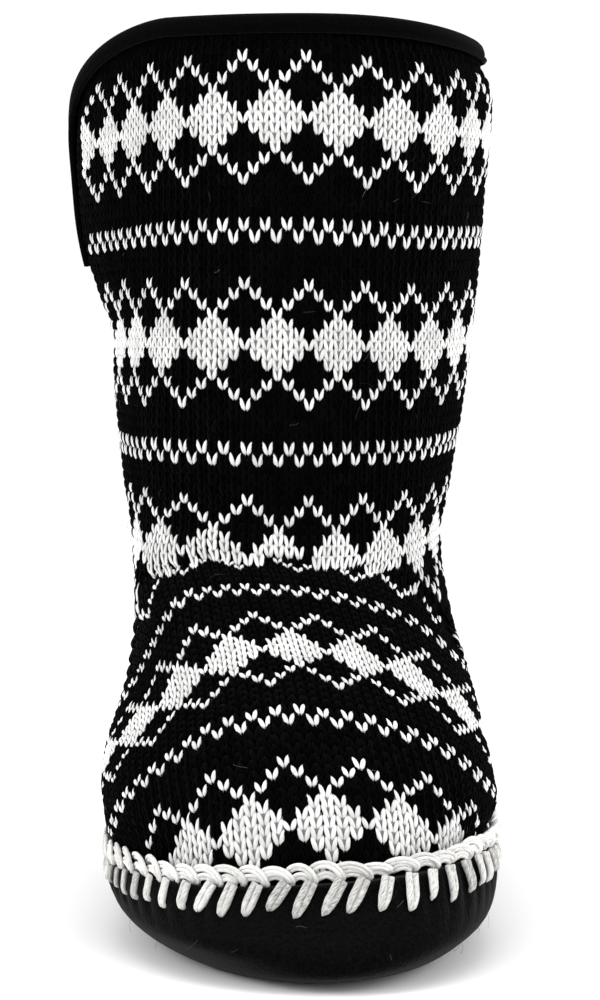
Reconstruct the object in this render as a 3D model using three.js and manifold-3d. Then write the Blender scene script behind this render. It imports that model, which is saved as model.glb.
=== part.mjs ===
// Knit slipper boot, right foot, standing empty on its sole. Millimetres, +Z up, toe towards -Y,
// outer (little toe) side towards -X. Every horizontal slice of the foot and shaft is an egg-shaped
// curve, so the upper, the cup sole, the insole and the trims all come from tables of such slices.
import * as THREE from 'three';
import { mergeVertices } from 'three/addons/utils/BufferGeometryUtils.js';
import Module from 'manifold-3d';

const wasm = await Module();
wasm.setup();

// Driving sizes
const CLEARANCE = 0.3;
const WALL = 4;
const COLLAR_HEIGHT = 256.5;
const FLAP_BOTTOM = 169;
const AROUND = 56;

// Columns of a slice: foremost and rearmost y, y of the widest place, half-widths towards the outer
// and the inner side, sideways lean of the toe, and the roundness of the front and the back half
// (2 is an ellipse, more is squarer).
const COLUMNS = ['front', 'back', 'wide', 'outer', 'inner', 'lean', 'nose', 'seat'];

// Outside of the upper, level by level: seat in the sole, waist under the edge chain, ball, vamp,
// ankle crease, shaft, collar. Each row is z followed by COLUMNS.
const UPPER_SLICES = [
  [9, -103, 119, -38, 46.6, 47.4, 7, 2.3, 2.6],
  [22, -99.5, 120.5, -37, 48.8, 48.8, 7, 2.3, 2.6],
  [29, -96.5, 122, -36, 49.8, 49.4, 7, 2.3, 2.6],
  [38, -93.5, 124, -34, 53.4, 52, 7, 2.3, 2.5],
  [49, -89.5, 125, -26, 53.5, 52, 7, 2.3, 2.4],
  [58, -82, 124.5, -15, 52.1, 51, 6, 2.2, 2.35],
  [66, -72, 123, -2, 50.4, 49.5, 5, 2.1, 2.3],
  [73, -57.5, 121.5, 10, 49.8, 47.6, 4, 2, 2.2],
  [79, -44, 120, 24, 49.6, 46, 3, 2, 2.1],
  [86, -28.5, 118.8, 38, 50, 44.8, 2, 2, 2],
  [92.5, -13.5, 117.8, 50, 50.8, 44, 1, 2, 2],
  [98, 1.5, 117, 58, 51.6, 43.6, 0, 2, 2],
  [103, 9, 116.8, 62, 52.3, 44, 0, 2, 2],
  [111, 11, 116.8, 64, 53.4, 45, 0, 2, 2],
  [123, 11, 117.2, 64, 55, 47, 0, 2, 2],
  [145, 9.5, 119, 64, 57.2, 50.6, 0, 2, 2],
  [174, 8, 120.5, 64, 59, 54.2, 0, 2, 2],
  [208, 6.5, 121.5, 64, 61.5, 57, 0, 2, 2],
  [236, 5.5, 122.5, 64, 63.8, 59.25, 0, 2, 2],
  [247, 5.6, 122.4, 64, 64.4, 57, 0, 2, 2],
  [257, 6.6, 121.4, 64, 64.2, 55, 0, 2, 2],
];

// Outside of the cup sole, from its rim down to the tread. Each row is z followed by COLUMNS.
const SOLE_SLICES = [
  [0, -110, 117, -38, 32.8, 37.8, 4, 2.1, 2.5],
  [2, -116.5, 122, -37, 39.5, 42, 7, 1.97, 2.55],
  [5, -119, 125, -36, 45.6, 46.4, 8.8, 2, 2.6],
  [10, -117.5, 127, -36, 50, 51.6, 7.4, 2.23, 2.6],
  [15, -113, 127.4, -36, 51.9, 53.6, 7.4, 2.3, 2.6],
  [22, -106.5, 126.8, -36, 53.3, 54, 7, 2.3, 2.6],
  [26.3, -102.5, 125.6, -36, 53, 52.8, 7, 2.3, 2.6],
];
const SOLE_FLOOR = 8.7;
const SOLE_RIM = 26.3;
// The sewn rim lies lower at the outer side than at the inner side: its fall at the middle and its
// slope across the boot, both fading out down the wall to the level from.
const RIM_TILT = { fall: -1.8, slope: 0.065, from: 8 };
const INSOLE = { thick: 4, eased: 1 };
// Rows of facets of the upper: up the foot to the top of the instep, the ankle and leg, the side wrap.
const UPPER_ROWS = { seat: 9, instep: 104, foot: 16, leg: 4, wrap: 5 };

// Waist of the last: how far each side draws in at the arch, and where along the foot.
const WAIST = { y: 22, reach: 36, inner: 4, outer: 1.5, fadeFrom: 30, fadeTo: 75 };
// Underside: toe spring starts at toeFrom, the arch lifts off the floor between archFrom and archTo.
// The underside's facets lie between its outline and these shares of it.
const TREAD = {
  toeFrom: -76, toeTo: -116, toeLift: 1.6, archFrom: -16, archTo: 58, archLift: 2, fade: 12,
  rings: [0.8, 0.55, 0.3],
};

// Side wrap. Angles run around a slice in degrees: 0 toe, 90 outer side, 180 heel, 270 inner side.
// The ring of the shaft dips at the outer side between front and back, and the front panel goes on
// over that dip as a free flap with a round corner.
const DIP = { from: 26, down: 52, up: 76, to: 112, depth: 46, saddle: 4, saddlePower: 3 };
const FLAP = {
  root: 22, lift: 38, edge: 93.5, standOff: 7.45, rise: 38, risePower: 2.2, wall: 3.3, sunk: 0.5,
  cornerFrom: 38, cornerTall: 42, cornerPower: 1.72, columns: 6,
};
// Wall pressed thin where the binding grips it, and the folded tape: start is the column of the shaft's
// ring where it begins, end the height on the flap where it stops.
const PINCH = { from: 12, to: 8.5, outside: 1.3, inside: 0.4 };
const BINDING = { start: 12, grip: 4.5, leg: 1.2, slot: 3.5, bevel: 0.9, end: 187, corner: 9, straight: 4 };
const CHAIN = { level: 29, radius: 2.3, sides: 6, around: 72 };

// Length of one degree around the collar, and the step, in mm or degrees, that slopes are read over.
const COLLAR_RADIUS = 66;
const MM_PER_DEGREE = Math.PI / 180 * COLLAR_RADIUS;
const SLOPE_STEP = 0.5;

const smooth = (from, to, value) => THREE.MathUtils.smoothstep(value, from, to);
const radians = (degrees) => THREE.MathUtils.degToRad(degrees);

// Slice of a table at height z: cubic curves through the rows, column by column.
function sliceAt(table, z) {
  let k = 0;
  while (k < table.length - 2 && z > table[k + 1][0]) k += 1;
  const [low, high] = [table[k], table[k + 1]];
  const span = high[0] - low[0];
  const t = THREE.MathUtils.clamp((z - low[0]) / span, 0, 1);
  const slope = (row, column) => {
    const before = table[Math.max(row - 1, 0)];
    const after = table[Math.min(row + 1, table.length - 1)];
    return (after[column] - before[column]) / (after[0] - before[0]);
  };
  const slice = {};
  COLUMNS.forEach((name, index) => {
    const column = index + 1;
    const rise = high[column] - low[column];
    const a = slope(k, column) * span - rise;
    const b = rise - slope(k + 1, column) * span;
    slice[name] = low[column] + t * rise + t * (1 - t) * ((1 - t) * a + t * b);
  });
  return slice;
}

// Point of a table's surface at an angle and height.
function surfacePoint(table, angle, z) {
  const slice = sliceAt(table, z);
  const c = Math.cos(radians(angle));
  const s = Math.sin(radians(angle));
  const power = 2 / (c > 0 ? slice.nose : slice.seat);
  const along = Math.abs(c) ** power;
  const side = Math.abs(s) ** power;
  const y = slice.wide + ((c > 0 ? slice.front : slice.back) - slice.wide) * along;
  const hollow = Math.exp(-(((y - WAIST.y) / WAIST.reach) ** 2));
  const drawn = hollow * (1 - smooth(WAIST.fadeFrom, WAIST.fadeTo, z));
  const lean = c > 0 ? slice.lean * along * along : 0;
  const half = s > 0 ? WAIST.outer * drawn - slice.outer : slice.inner - WAIST.inner * drawn;
  return new THREE.Vector3(half * side + lean, y, z);
}

// Outward normal of that surface, from its slopes around and upwards.
function surfaceNormal(table, angle, z) {
  const low = table[0][0];
  const high = table[table.length - 1][0];
  const up = surfacePoint(table, angle, Math.min(z + SLOPE_STEP, high));
  up.sub(surfacePoint(table, angle, Math.max(z - SLOPE_STEP, low)));
  const round = surfacePoint(table, angle + SLOPE_STEP, z).sub(surfacePoint(table, angle - SLOPE_STEP, z));
  return up.cross(round).normalize();
}

// Point at a distance outside (or, negative, inside) the upper's surface. Level points keep their z.
function upperOffset(angle, z, distance, level = false) {
  const normal = surfaceNormal(UPPER_SLICES, angle, z);
  if (level) normal.setZ(0).normalize();
  return surfacePoint(UPPER_SLICES, angle, z).addScaledVector(normal, distance);
}

// Closed solid from rings of equal length: joined end to end like a torus, or closed by caps.
function ringSolid(rings, { torus = false, cap = null } = {}) {
  const count = rings[0].length;
  const points = rings.flat();
  const triangles = [];
  const joins = torus ? rings.length : rings.length - 1;
  for (let r = 0; r < joins; r += 1) {
    const next = (r + 1) % rings.length;
    for (let i = 0; i < count; i += 1) {
      const j = (i + 1) % count;
      triangles.push(r * count + i, r * count + j, next * count + j);
      triangles.push(r * count + i, next * count + j, next * count + i);
    }
  }
  if (!torus) {
    const last = (rings.length - 1) * count;
    const faces = cap ?? [...Array(count - 2).keys()].map((i) => [0, i + 1, i + 2]);
    faces.forEach(([a, b, c]) => triangles.push(a, c, b, last + a, last + b, last + c));
  }
  return facingOut(points, triangles);
}

// Geometry with its faces turned outwards, judged by the sign of its volume.
function facingOut(points, triangles) {
  let volume = 0;
  for (let i = 0; i < triangles.length; i += 3) {
    const [a, b, c] = [points[triangles[i]], points[triangles[i + 1]], points[triangles[i + 2]]];
    volume += a.dot(b.clone().cross(c));
  }
  const geometry = new THREE.BufferGeometry().setFromPoints(points);
  geometry.setIndex(volume < 0 ? triangles.slice().reverse() : triangles);
  return geometry;
}

function toManifold(geometry) {
  const merged = mergeVertices(geometry, 1e-4);
  return new wasm.Manifold(new wasm.Mesh({
    numProp: 3,
    vertProperties: new Float32Array(merged.attributes.position.array),
    triVerts: new Uint32Array(merged.index.array),
  }));
}

function fromManifold(solid) {
  const mesh = solid.getMesh();
  const geometry = new THREE.BufferGeometry();
  geometry.setAttribute('position', new THREE.BufferAttribute(mesh.vertProperties, mesh.numProp));
  geometry.setIndex(new THREE.BufferAttribute(mesh.triVerts, 1));
  return geometry;
}

const steps = (from, to, count) => [...Array(count + 1).keys()].map((i) => from + (to - from) * i / count);
const anglesAround = (count) => [...Array(count).keys()].map((i) => 360 * i / count);

// Top edge of the shaft's ring, dipped under the flap and a little lower at the inner side.
function ringTop(angle) {
  const turned = THREE.MathUtils.euclideanModulo(angle, 360);
  const dip = smooth(DIP.from, DIP.down, turned) - smooth(DIP.up, DIP.to, turned);
  const saddle = turned > 180 ? DIP.saddle * Math.abs(Math.sin(radians(turned))) ** DIP.saddlePower : 0;
  return COLLAR_HEIGHT - DIP.depth * dip - saddle;
}

// Length of a step straight down from that edge for each step square to it.
function ringTilt(angle) {
  const slope = (ringTop(angle + 1) - ringTop(angle - 1)) / (2 * MM_PER_DEGREE);
  return Math.hypot(1, slope);
}

// Share of the pinch at a distance from the bound edge.
const pinchAt = (distance) => 1 - smooth(PINCH.to, PINCH.from, distance);

// Ring of the upper: foot and shaft in one wall, open at the collar and underneath.
function upperRing() {
  const foot = steps(UPPER_ROWS.seat, UPPER_ROWS.instep, UPPER_ROWS.foot).map((z) => () => z);
  const leg = steps(UPPER_ROWS.instep, FLAP_BOTTOM, UPPER_ROWS.leg).slice(1).map((z) => () => z);
  const below = (angle, distance) => ringTop(angle) - distance * ringTilt(angle);
  const top = steps(0, 1, UPPER_ROWS.wrap).slice(1).map((v) => (angle) => (
    THREE.MathUtils.lerp(FLAP_BOTTOM, below(angle, PINCH.from), v)));
  const rim = [PINCH.to, 0].map((distance) => (angle) => below(angle, distance));
  const levels = [...foot, ...leg, ...top, ...rim];
  const skin = (inside) => levels.map((level, row) => anglesAround(AROUND).map((angle) => {
    const z = level(angle);
    const flat = row === 0 || row >= levels.length - rim.length;
    const pinch = pinchAt((ringTop(angle) - z) / ringTilt(angle));
    const distance = inside ? PINCH.inside * pinch - WALL : -PINCH.outside * pinch;
    return upperOffset(angle, z, distance, flat);
  }));
  return ringSolid([...skin(false), ...skin(true).reverse()], { torus: true });
}

// How far the front panel's outside stands off the shaft, growing towards its free edge.
function flapLift(angle, z) {
  const rise = 1 - (1 - THREE.MathUtils.clamp((z - FLAP_BOTTOM) / FLAP.rise, 0, 1)) ** FLAP.risePower;
  const swing = smooth(FLAP.lift, FLAP.edge, angle);
  const sunk = FLAP.sunk * (1 - smooth(FLAP.root, FLAP.lift, angle));
  const foot = FLAP.sunk * (1 - smooth(FLAP_BOTTOM, FLAP_BOTTOM + PINCH.to, z));
  return FLAP.standOff * rise * swing - sunk - foot;
}

// Angle of the flap's free edge at a height, and height of its edge at an angle: a straight side that
// turns into a wide round corner up to the collar.
const CORNER_LEVEL = COLLAR_HEIGHT - FLAP.cornerTall;
const CORNER_WIDE = FLAP.edge - FLAP.cornerFrom;
const bow = (share) => (1 - THREE.MathUtils.clamp(share, 0, 1) ** FLAP.cornerPower) ** (1 / FLAP.cornerPower);
const flapEdge = (z) => FLAP.cornerFrom + CORNER_WIDE * bow((z - CORNER_LEVEL) / FLAP.cornerTall);
const flapTop = (angle) => CORNER_LEVEL + FLAP.cornerTall * bow((angle - FLAP.cornerFrom) / CORNER_WIDE);

// Heights of the corner's stations, from the collar down.
const cornerLevels = () => steps(90, 0, BINDING.corner).slice(0, -1).map((turn) => (
  CORNER_LEVEL + FLAP.cornerTall * Math.sin(radians(turn))));

// Distance from the flap's free edge, measured on the cloth.
function flapInset(angle, z) {
  const side = (flapEdge(z) - angle) * MM_PER_DEGREE;
  const above = flapTop(angle) - z;
  return side * above / Math.max(Math.hypot(side, above), 1e-6);
}

// Free flap of the front panel, its root sunk in the ring's wall.
function flapPanel() {
  const straight = steps(FLAP_BOTTOM, CORNER_LEVEL, UPPER_ROWS.wrap);
  const curved = cornerLevels().reverse();
  const hem = [PINCH.from, PINCH.to, PINCH.to / 2, 0].map((distance) => distance / MM_PER_DEGREE);
  const columns = (z) => [
    ...steps(FLAP.root, flapEdge(z) - hem[0], FLAP.columns).slice(0, -1),
    ...hem.map((degrees) => flapEdge(z) - degrees),
  ];
  const face = (inside, z) => columns(z).map((angle) => {
    const pinch = pinchAt(flapInset(angle, z));
    const distance = flapLift(angle, z)
      + (inside ? PINCH.inside * pinch - FLAP.wall : -PINCH.outside * pinch);
    return upperOffset(angle, z, distance, true);
  });
  const rings = [...straight, ...curved].map((z) => [...face(false, z), ...face(true, z).reverse()]);
  const last = columns(FLAP_BOTTOM).length - 1;
  const cap = steps(0, last - 1, last - 1).flatMap((i) => [
    [i, i + 1, 2 * last - i],
    [i, 2 * last - i, 2 * last + 1 - i],
  ]);
  return ringSolid(rings, { cap });
}

function upperGeometry() {
  return fromManifold(toManifold(upperRing()).add(toManifold(flapPanel())));
}

// Rise of the sole's underside above the floor: toe spring and arch, fading out up the side wall.
function treadRise(y, z) {
  const toe = TREAD.toeLift * smooth(-TREAD.toeFrom, -TREAD.toeTo, -y);
  const middle = (y - TREAD.archFrom) / (TREAD.archTo - TREAD.archFrom);
  const arch = middle > 0 && middle < 1 ? TREAD.archLift * Math.sin(Math.PI * middle) ** 2 : 0;
  return (toe + arch) * (1 - smooth(0, TREAD.fade, z));
}

// Shift of the sewn rim at an angle, and height of a place on the sole's wall with its share of it.
function rimShift(angle) {
  return RIM_TILT.fall + RIM_TILT.slope * surfacePoint(SOLE_SLICES, angle, SOLE_RIM).x;
}
const tilted = (angle, z) => z + rimShift(angle) * smooth(RIM_TILT.from, SOLE_RIM, z);

// Cup sole: floor, inside wall clear of the upper, rim, round outside, and a tread with two flats.
function soleGeometry() {
  const angles = anglesAround(AROUND);
  const inside = (z) => angles.map((angle) => (
    upperOffset(angle, tilted(angle, z), 2 * CLEARANCE, true)));
  const shrink = (ring, share) => ring.map(({ x, y, z }) => new THREE.Vector3(x * share, y * share, z));
  const outside = SOLE_SLICES.map((row) => angles.map((angle) => {
    const point = surfacePoint(SOLE_SLICES, angle, row[0]);
    return point.setZ(tilted(angle, row[0]) + treadRise(point.y, row[0]));
  }));
  const floor = inside(UPPER_ROWS.seat).map((point) => point.setZ(SOLE_FLOOR));
  const tread = TREAD.rings.map((share) => shrink(outside[0], share).map((point) => (
    point.setZ(treadRise(point.y, 0)))));
  const wall = [(SOLE_FLOOR + SOLE_RIM) / 2, SOLE_RIM].map(inside);
  const rings = [shrink(floor, TREAD.rings.at(-1)), floor, ...wall, ...outside.reverse(), ...tread];
  return ringSolid(rings);
}

// Insole: a flat pad inside the upper, on the sole's floor, with an eased top edge.
function insoleGeometry() {
  const inset = -WALL - 2 * CLEARANCE;
  const bottom = SOLE_FLOOR + CLEARANCE;
  const ring = (z, distance) => anglesAround(AROUND).map((angle) => (
    upperOffset(angle, z, inset - distance, true)));
  const top = bottom + INSOLE.thick;
  const { eased } = INSOLE;
  return ringSolid([ring(bottom, eased), ring(bottom + eased, 0), ring(top - eased, 0), ring(top, eased)]);
}

// Edge chain: a plump cord lying on the sole's rim, against the upper.
function chainGeometry() {
  const rings = anglesAround(CHAIN.around).map((angle) => {
    const level = CHAIN.level + rimShift(angle);
    const out = surfaceNormal(UPPER_SLICES, angle, level);
    const reach = CHAIN.radius + 2 * CLEARANCE;
    const middle = surfacePoint(UPPER_SLICES, angle, level).addScaledVector(out, reach);
    middle.z = level;
    const flat = out.clone().setZ(0).normalize();
    middle.addScaledVector(flat, reach * (1 - out.dot(flat)));
    return anglesAround(CHAIN.sides).map((turn) => middle.clone()
      .addScaledVector(flat, CHAIN.radius * Math.cos(radians(turn)))
      .add(new THREE.Vector3(0, 0, CHAIN.radius * Math.sin(radians(turn)))));
  });
  return ringSolid(rings, { torus: true });
}

// Middle of the bound edge at an angle and height on the ring, and on the flap.
function ringStation(angle) {
  const z = ringTop(angle);
  const point = upperOffset(angle, z, -(WALL + PINCH.outside - PINCH.inside) / 2, true);
  return { point, normal: surfaceNormal(UPPER_SLICES, angle, z) };
}
function flapStation(angle, z) {
  const face = (a, h) => upperOffset(a, h, flapLift(a, h), true);
  const middle = flapLift(angle, z) - (FLAP.wall + PINCH.outside - PINCH.inside) / 2;
  const up = face(angle, z).sub(face(angle, z - 1));
  const round = face(angle, z).sub(face(angle - 1, z));
  return { point: upperOffset(angle, z, middle, true), normal: up.cross(round).normalize() };
}

// Collar binding: a folded tape whose U section straddles the edge, from under the flap, round the
// back, the inner side and the front, over the flap's round corner and down its free edge.
function bindingGeometry() {
  const column = 360 / AROUND;
  const leave = Math.floor((360 + DIP.from) / column);
  const turns = steps(BINDING.start, leave, leave - BINDING.start);
  const stations = turns.map((k) => ringStation(k * column));
  const flapStart = (leave + 1) * column - 360;
  steps(flapStart, FLAP.cornerFrom, 2).forEach((angle) => stations.push(flapStation(angle, COLLAR_HEIGHT)));
  cornerLevels().slice(1).forEach((z) => stations.push(flapStation(flapEdge(z), z)));
  steps(CORNER_LEVEL, BINDING.end, BINDING.straight).forEach((z) => stations.push(flapStation(FLAP.edge, z)));
  const half = BINDING.slot / 2;
  const wide = half + BINDING.leg;
  const crest = CLEARANCE + BINDING.leg;
  const section = [
    [-wide, -BINDING.grip], [-wide, crest - BINDING.bevel], [-wide + BINDING.bevel, crest],
    [wide - BINDING.bevel, crest], [wide, crest - BINDING.bevel], [wide, -BINDING.grip],
    [half, -BINDING.grip], [half, CLEARANCE], [-half, CLEARANCE], [-half, -BINDING.grip],
  ].map(([across, beyond]) => new THREE.Vector2(across, beyond));
  const rings = stations.map((station, k) => {
    const before = stations[Math.max(k - 1, 0)].point;
    const after = stations[Math.min(k + 1, stations.length - 1)].point;
    const tangent = after.clone().sub(before).normalize();
    const normal = station.normal.clone();
    normal.addScaledVector(tangent, -normal.dot(tangent)).normalize();
    const beyond = tangent.clone().cross(normal);
    return section.map((corner) => station.point.clone()
      .addScaledVector(normal, corner.x)
      .addScaledVector(beyond, corner.y));
  });
  const cap = THREE.ShapeUtils.triangulateShape(section, []).map(([a, b, c]) => [a, c, b]);
  return ringSolid(rings, { cap });
}

const boot = new THREE.Group();

function addPiece(name, geometry, colour, roughness) {
  const material = new THREE.MeshStandardMaterial({ color: colour, roughness, metalness: 0 });
  const piece = new THREE.Mesh(geometry, material);
  piece.name = name;
  boot.add(piece);
}

addPiece('upper', upperGeometry(), 0x141414, 0.95);
addPiece('sole', soleGeometry(), 0x161616, 0.9);
addPiece('insole', insoleGeometry(), 0x1e1e1e, 0.95);
addPiece('edge_chain', chainGeometry(), 0xf4f4f2, 0.85);
addPiece('collar_binding', bindingGeometry(), 0x202020, 0.9);

// The origin is the middle of the boot's box, on the floor.
const box = new THREE.Box3().setFromObject(boot);
const middle = box.getCenter(new THREE.Vector3());
boot.position.set(-middle.x, -middle.y, -box.min.z);

export default boot;
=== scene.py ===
"""Knit slipper boot as in the photo: black and white patterned knit made of single stitches, a soft black
binding round the collar and the wrap, a white crochet chain and whip stitches on a black napped cup sole.
Shapes are worked out in millimetres in the boot's own frame (toe towards -Y, outer side towards -X). Angles
are degrees round the boot: 0 toe, 90 outer side, 180 heel, -90 inner side."""

import bpy
import numpy as np
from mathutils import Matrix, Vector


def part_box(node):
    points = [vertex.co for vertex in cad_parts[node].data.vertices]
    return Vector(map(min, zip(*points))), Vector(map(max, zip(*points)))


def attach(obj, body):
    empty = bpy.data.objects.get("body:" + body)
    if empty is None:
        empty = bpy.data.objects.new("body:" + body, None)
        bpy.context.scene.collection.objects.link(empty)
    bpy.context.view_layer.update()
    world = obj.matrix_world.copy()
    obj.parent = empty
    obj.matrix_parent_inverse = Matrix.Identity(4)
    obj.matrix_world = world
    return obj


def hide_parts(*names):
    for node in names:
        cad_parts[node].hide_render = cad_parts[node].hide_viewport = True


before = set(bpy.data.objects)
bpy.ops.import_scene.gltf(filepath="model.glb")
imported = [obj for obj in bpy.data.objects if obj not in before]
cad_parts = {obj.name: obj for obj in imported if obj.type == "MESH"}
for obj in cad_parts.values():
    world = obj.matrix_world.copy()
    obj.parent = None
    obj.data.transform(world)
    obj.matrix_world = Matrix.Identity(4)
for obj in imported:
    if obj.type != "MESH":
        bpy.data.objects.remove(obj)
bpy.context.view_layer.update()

MM = 0.001
RNG = np.random.default_rng(7)
# Step of slopes, in mm and degrees, and the least length that anything is divided by.
PROBE, TINY = 0.5, 1e-9

# Slices of the boot: z, then foremost and rearmost y, y of the widest place, outer and inner half-width,
# sideways lean of the toe, roundness of the front and of the back half.
UPPER = np.array([
    [9, -103, 119, -38, 46.6, 47.4, 7, 2.3, 2.6], [22, -99.5, 120.5, -37, 48.8, 48.8, 7, 2.3, 2.6],
    [29, -96.5, 122, -36, 49.8, 49.4, 7, 2.3, 2.6], [38, -93.5, 124, -34, 53.4, 52, 7, 2.3, 2.5],
    [49, -89.5, 125, -26, 53.5, 52, 7, 2.3, 2.4], [58, -82, 124.5, -15, 52.1, 51, 6, 2.2, 2.35],
    [66, -72, 123, -2, 50.4, 49.5, 5, 2.1, 2.3], [73, -57.5, 121.5, 10, 49.8, 47.6, 4, 2, 2.2],
    [79, -44, 120, 24, 49.6, 46, 3, 2, 2.1], [86, -28.5, 118.8, 38, 50, 44.8, 2, 2, 2],
    [92.5, -13.5, 117.8, 50, 50.8, 44, 1, 2, 2], [98, 1.5, 117, 58, 51.6, 43.6, 0, 2, 2],
    [103, 9, 116.8, 62, 52.3, 44, 0, 2, 2], [111, 11, 116.8, 64, 53.4, 45, 0, 2, 2],
    [123, 11, 117.2, 64, 55, 47, 0, 2, 2], [145, 9.5, 119, 64, 57.2, 50.6, 0, 2, 2],
    [174, 8, 120.5, 64, 59, 54.2, 0, 2, 2], [208, 6.5, 121.5, 64, 61.5, 57, 0, 2, 2],
    [236, 5.5, 122.5, 64, 63.8, 59.25, 0, 2, 2], [247, 5.6, 122.4, 64, 64.4, 57, 0, 2, 2],
    [257, 6.6, 121.4, 64, 64.2, 55, 0, 2, 2],
])
SOLE = np.array([
    [0, -110, 117, -38, 32.8, 37.8, 4, 2.1, 2.5], [2, -116.5, 122, -37, 39.5, 42, 7, 1.97, 2.55],
    [5, -119, 125, -36, 45.6, 46.4, 8.8, 2, 2.6], [10, -117.5, 127, -36, 50, 51.6, 7.4, 2.23, 2.6],
    [15, -113, 127.4, -36, 51.9, 53.6, 7.4, 2.3, 2.6], [22, -106.5, 126.8, -36, 53.3, 54, 7, 2.3, 2.6],
    [26.3, -102.5, 125.6, -36, 53, 52.8, 7, 2.3, 2.6],
])
# Wall of the upper, heights of its collar and its lower edge, of the sole's floor and the sole's rim.
WALL, COLLAR, SEAT, SOLE_FLOOR, SOLE_RIM = 4.0, 256.5, 9.0, 8.7, 26.3
# Waist of the foot, where the arch draws the sides in: its place along the foot, its length, the heights
# between which it fades out, and how far it draws in the outer and the inner side.
WAIST_Y, WAIST_LONG, WAIST_FADE, WAIST_OUTER, WAIST_INNER = 22, 36, (30, 75), 1.5, 4
# Flap: height of its foot, angles of its root, of the line where it leaves the shaft and of its free edge,
# its wall. Then the free edge's distance from the shaft, height and power of the rise to it.
FLAP_LOW, FLAP_ROOT, FLAP_LIFT, FLAP_EDGE, FLAP_WALL = 169.0, 22.0, 38.0, 93.5, 3.3
FLAP_OFF, FLAP_OFF_TALL, FLAP_OFF_POWER = 7.45, 38, 2.2
# Flap's round corner: height and power of its superellipse, its lowest level, its width in degrees.
CORNER_TALL, CORNER_POWER = 42.0, 1.72
CORNER_LEVEL, CORNER_WIDE = COLLAR - CORNER_TALL, FLAP_EDGE - FLAP_LIFT
# Ring of the shaft: its radius, its dip under the flap with the angles over which that starts and ends, and
# how much lower its inner side is.
RING_RADIUS, RING_DIP, RING_DIP_SPANS, RING_SADDLE = 66.0, 46, ((26, 52), (76, 112)), 4
MM_PER_DEGREE = np.radians(RING_RADIUS)
# Edge seam: the chain's level, tilt and drop of the sewn rim, the height on the sole where the tilt starts,
# and the seam's climb along the outer side with the angles over which it starts and ends.
CHAIN_LEVEL, RIM_TILT, RIM_DROP, TILT_LOW = 29.0, 0.065, 1.8, 8
SEAM_CLIMB, SEAM_CLIMB_SPANS = 2, ((35, 85), (110, 160))
# Ankle fold: middle, width and height of its roll over the crease and its trough under it, its angles.
FOLD_ROLL, FOLD_TROUGH, FOLD_SPANS = (3.5, 5, 1.3), (-1, 2.6, -0.7), ((-100, -50), (50, 85))
# Swell of the forefoot's sides: middle, width and height of a bulge by height and of a roll by height over
# the seam, for the outer and the inner side, and its angles.
OUTER_BULGE, OUTER_ROLL = (44, 14, 1.6), (4.5, 5, 2.8)
INNER_BULGE, INNER_ROLL = (44, 14, 1.2), (7.5, 5, 1.28)
SWELL_SPANS = ((35, 75), (100, 140))
# The cloth is moved out level below the first height, and above the crease from the second height up.
LEVEL_BELOW, LEVEL_ABOVE = 22, 60
# How far the binding pinches the cloth, and the distances from the bound edge over which that fades out.
PINCH, PINCH_FADE = 1.3, (5, 11)


def smooth(low, high, value):
    """Ease from 0 at low to 1 at high, flat at both ends."""
    t = np.clip((value - low) / (high - low), 0, 1)
    return t * t * (3 - 2 * t)


def plateau(spans, value):
    """Ease from 0 to 1 over the first span and back to 0 over the second."""
    rise, fall = spans
    return smooth(*rise, value) * (1 - smooth(*fall, value))


def bell(value, middle, wide, size=1.0):
    """Bell curve: its size at the middle, 1/e of that at a distance of wide from it."""
    return size * np.exp(-(((value - middle) / wide) ** 2))


def unit(vectors):
    """Vectors brought to length 1."""
    return vectors / np.maximum(np.linalg.norm(vectors, axis=-1, keepdims=True), TINY)


def wrapped(angle):
    """Angle brought to between -180 and 180 degrees."""
    return np.mod(angle + 180, 360) - 180


def arc(points):
    """Length along a line of points, from its first point."""
    return np.concatenate([[0], np.cumsum(np.linalg.norm(np.diff(points, axis=0), axis=1))])


def through(table, place):
    """Values of a table at places along its first column: cubics through its rows, column by column."""
    place = np.clip(place, table[0, 0], table[-1, 0])
    k = np.clip(np.searchsorted(table[:, 0], place) - 1, 0, len(table) - 2)
    step = np.vstack([table[1:], table[-1:]]) - np.vstack([table[:1], table[:-1]])
    slope = step[:, 1:] / step[:, :1]
    span = (table[k + 1, 0] - table[k, 0])[..., None]
    t = (place - table[k, 0])[..., None] / span
    rise = table[k + 1, 1:] - table[k, 1:]
    bend = (1 - t) * (slope[k] * span - rise) + t * (rise - slope[k + 1] * span)
    return table[k, 1:] + t * rise + t * (1 - t) * bend


def surface(table, angle, z):
    """Point of a slice table at an angle and height: the slice at that height, a superellipse that gives
    the point on it, and the arch that draws the sides in."""
    angle, z = np.broadcast_arrays(np.asarray(angle, float), np.asarray(z, float))
    front, back, wide, outer, inner, lean, nose, seat = np.moveaxis(through(table, z), -1, 0)
    c, s = np.cos(np.radians(angle)), np.sin(np.radians(angle))
    power = 2 / np.where(c > 0, nose, seat)
    along, side = np.abs(c) ** power, np.abs(s) ** power
    y = wide + (np.where(c > 0, front, back) - wide) * along
    drawn = bell(y, WAIST_Y, WAIST_LONG) * (1 - smooth(*WAIST_FADE, z))
    half = np.where(s > 0, WAIST_OUTER * drawn - outer, inner - WAIST_INNER * drawn)
    return np.stack([half * side + np.where(c > 0, lean * along ** 2, 0), y, z], axis=-1)


def normal(table, angle, z, level=False):
    """Outward normal of that surface from its slopes upwards and around, with no z part if level."""
    low, high = table[0, 0], table[-1, 0]
    z = np.clip(z, low, high)
    above, below = np.minimum(z + PROBE, high), np.maximum(z - PROBE, low)
    up = surface(table, angle, above) - surface(table, angle, below)
    n = np.cross(up, surface(table, angle + PROBE, z) - surface(table, angle - PROBE, z))
    return unit(n * [1, 1, 0]) if level else unit(n)


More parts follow.
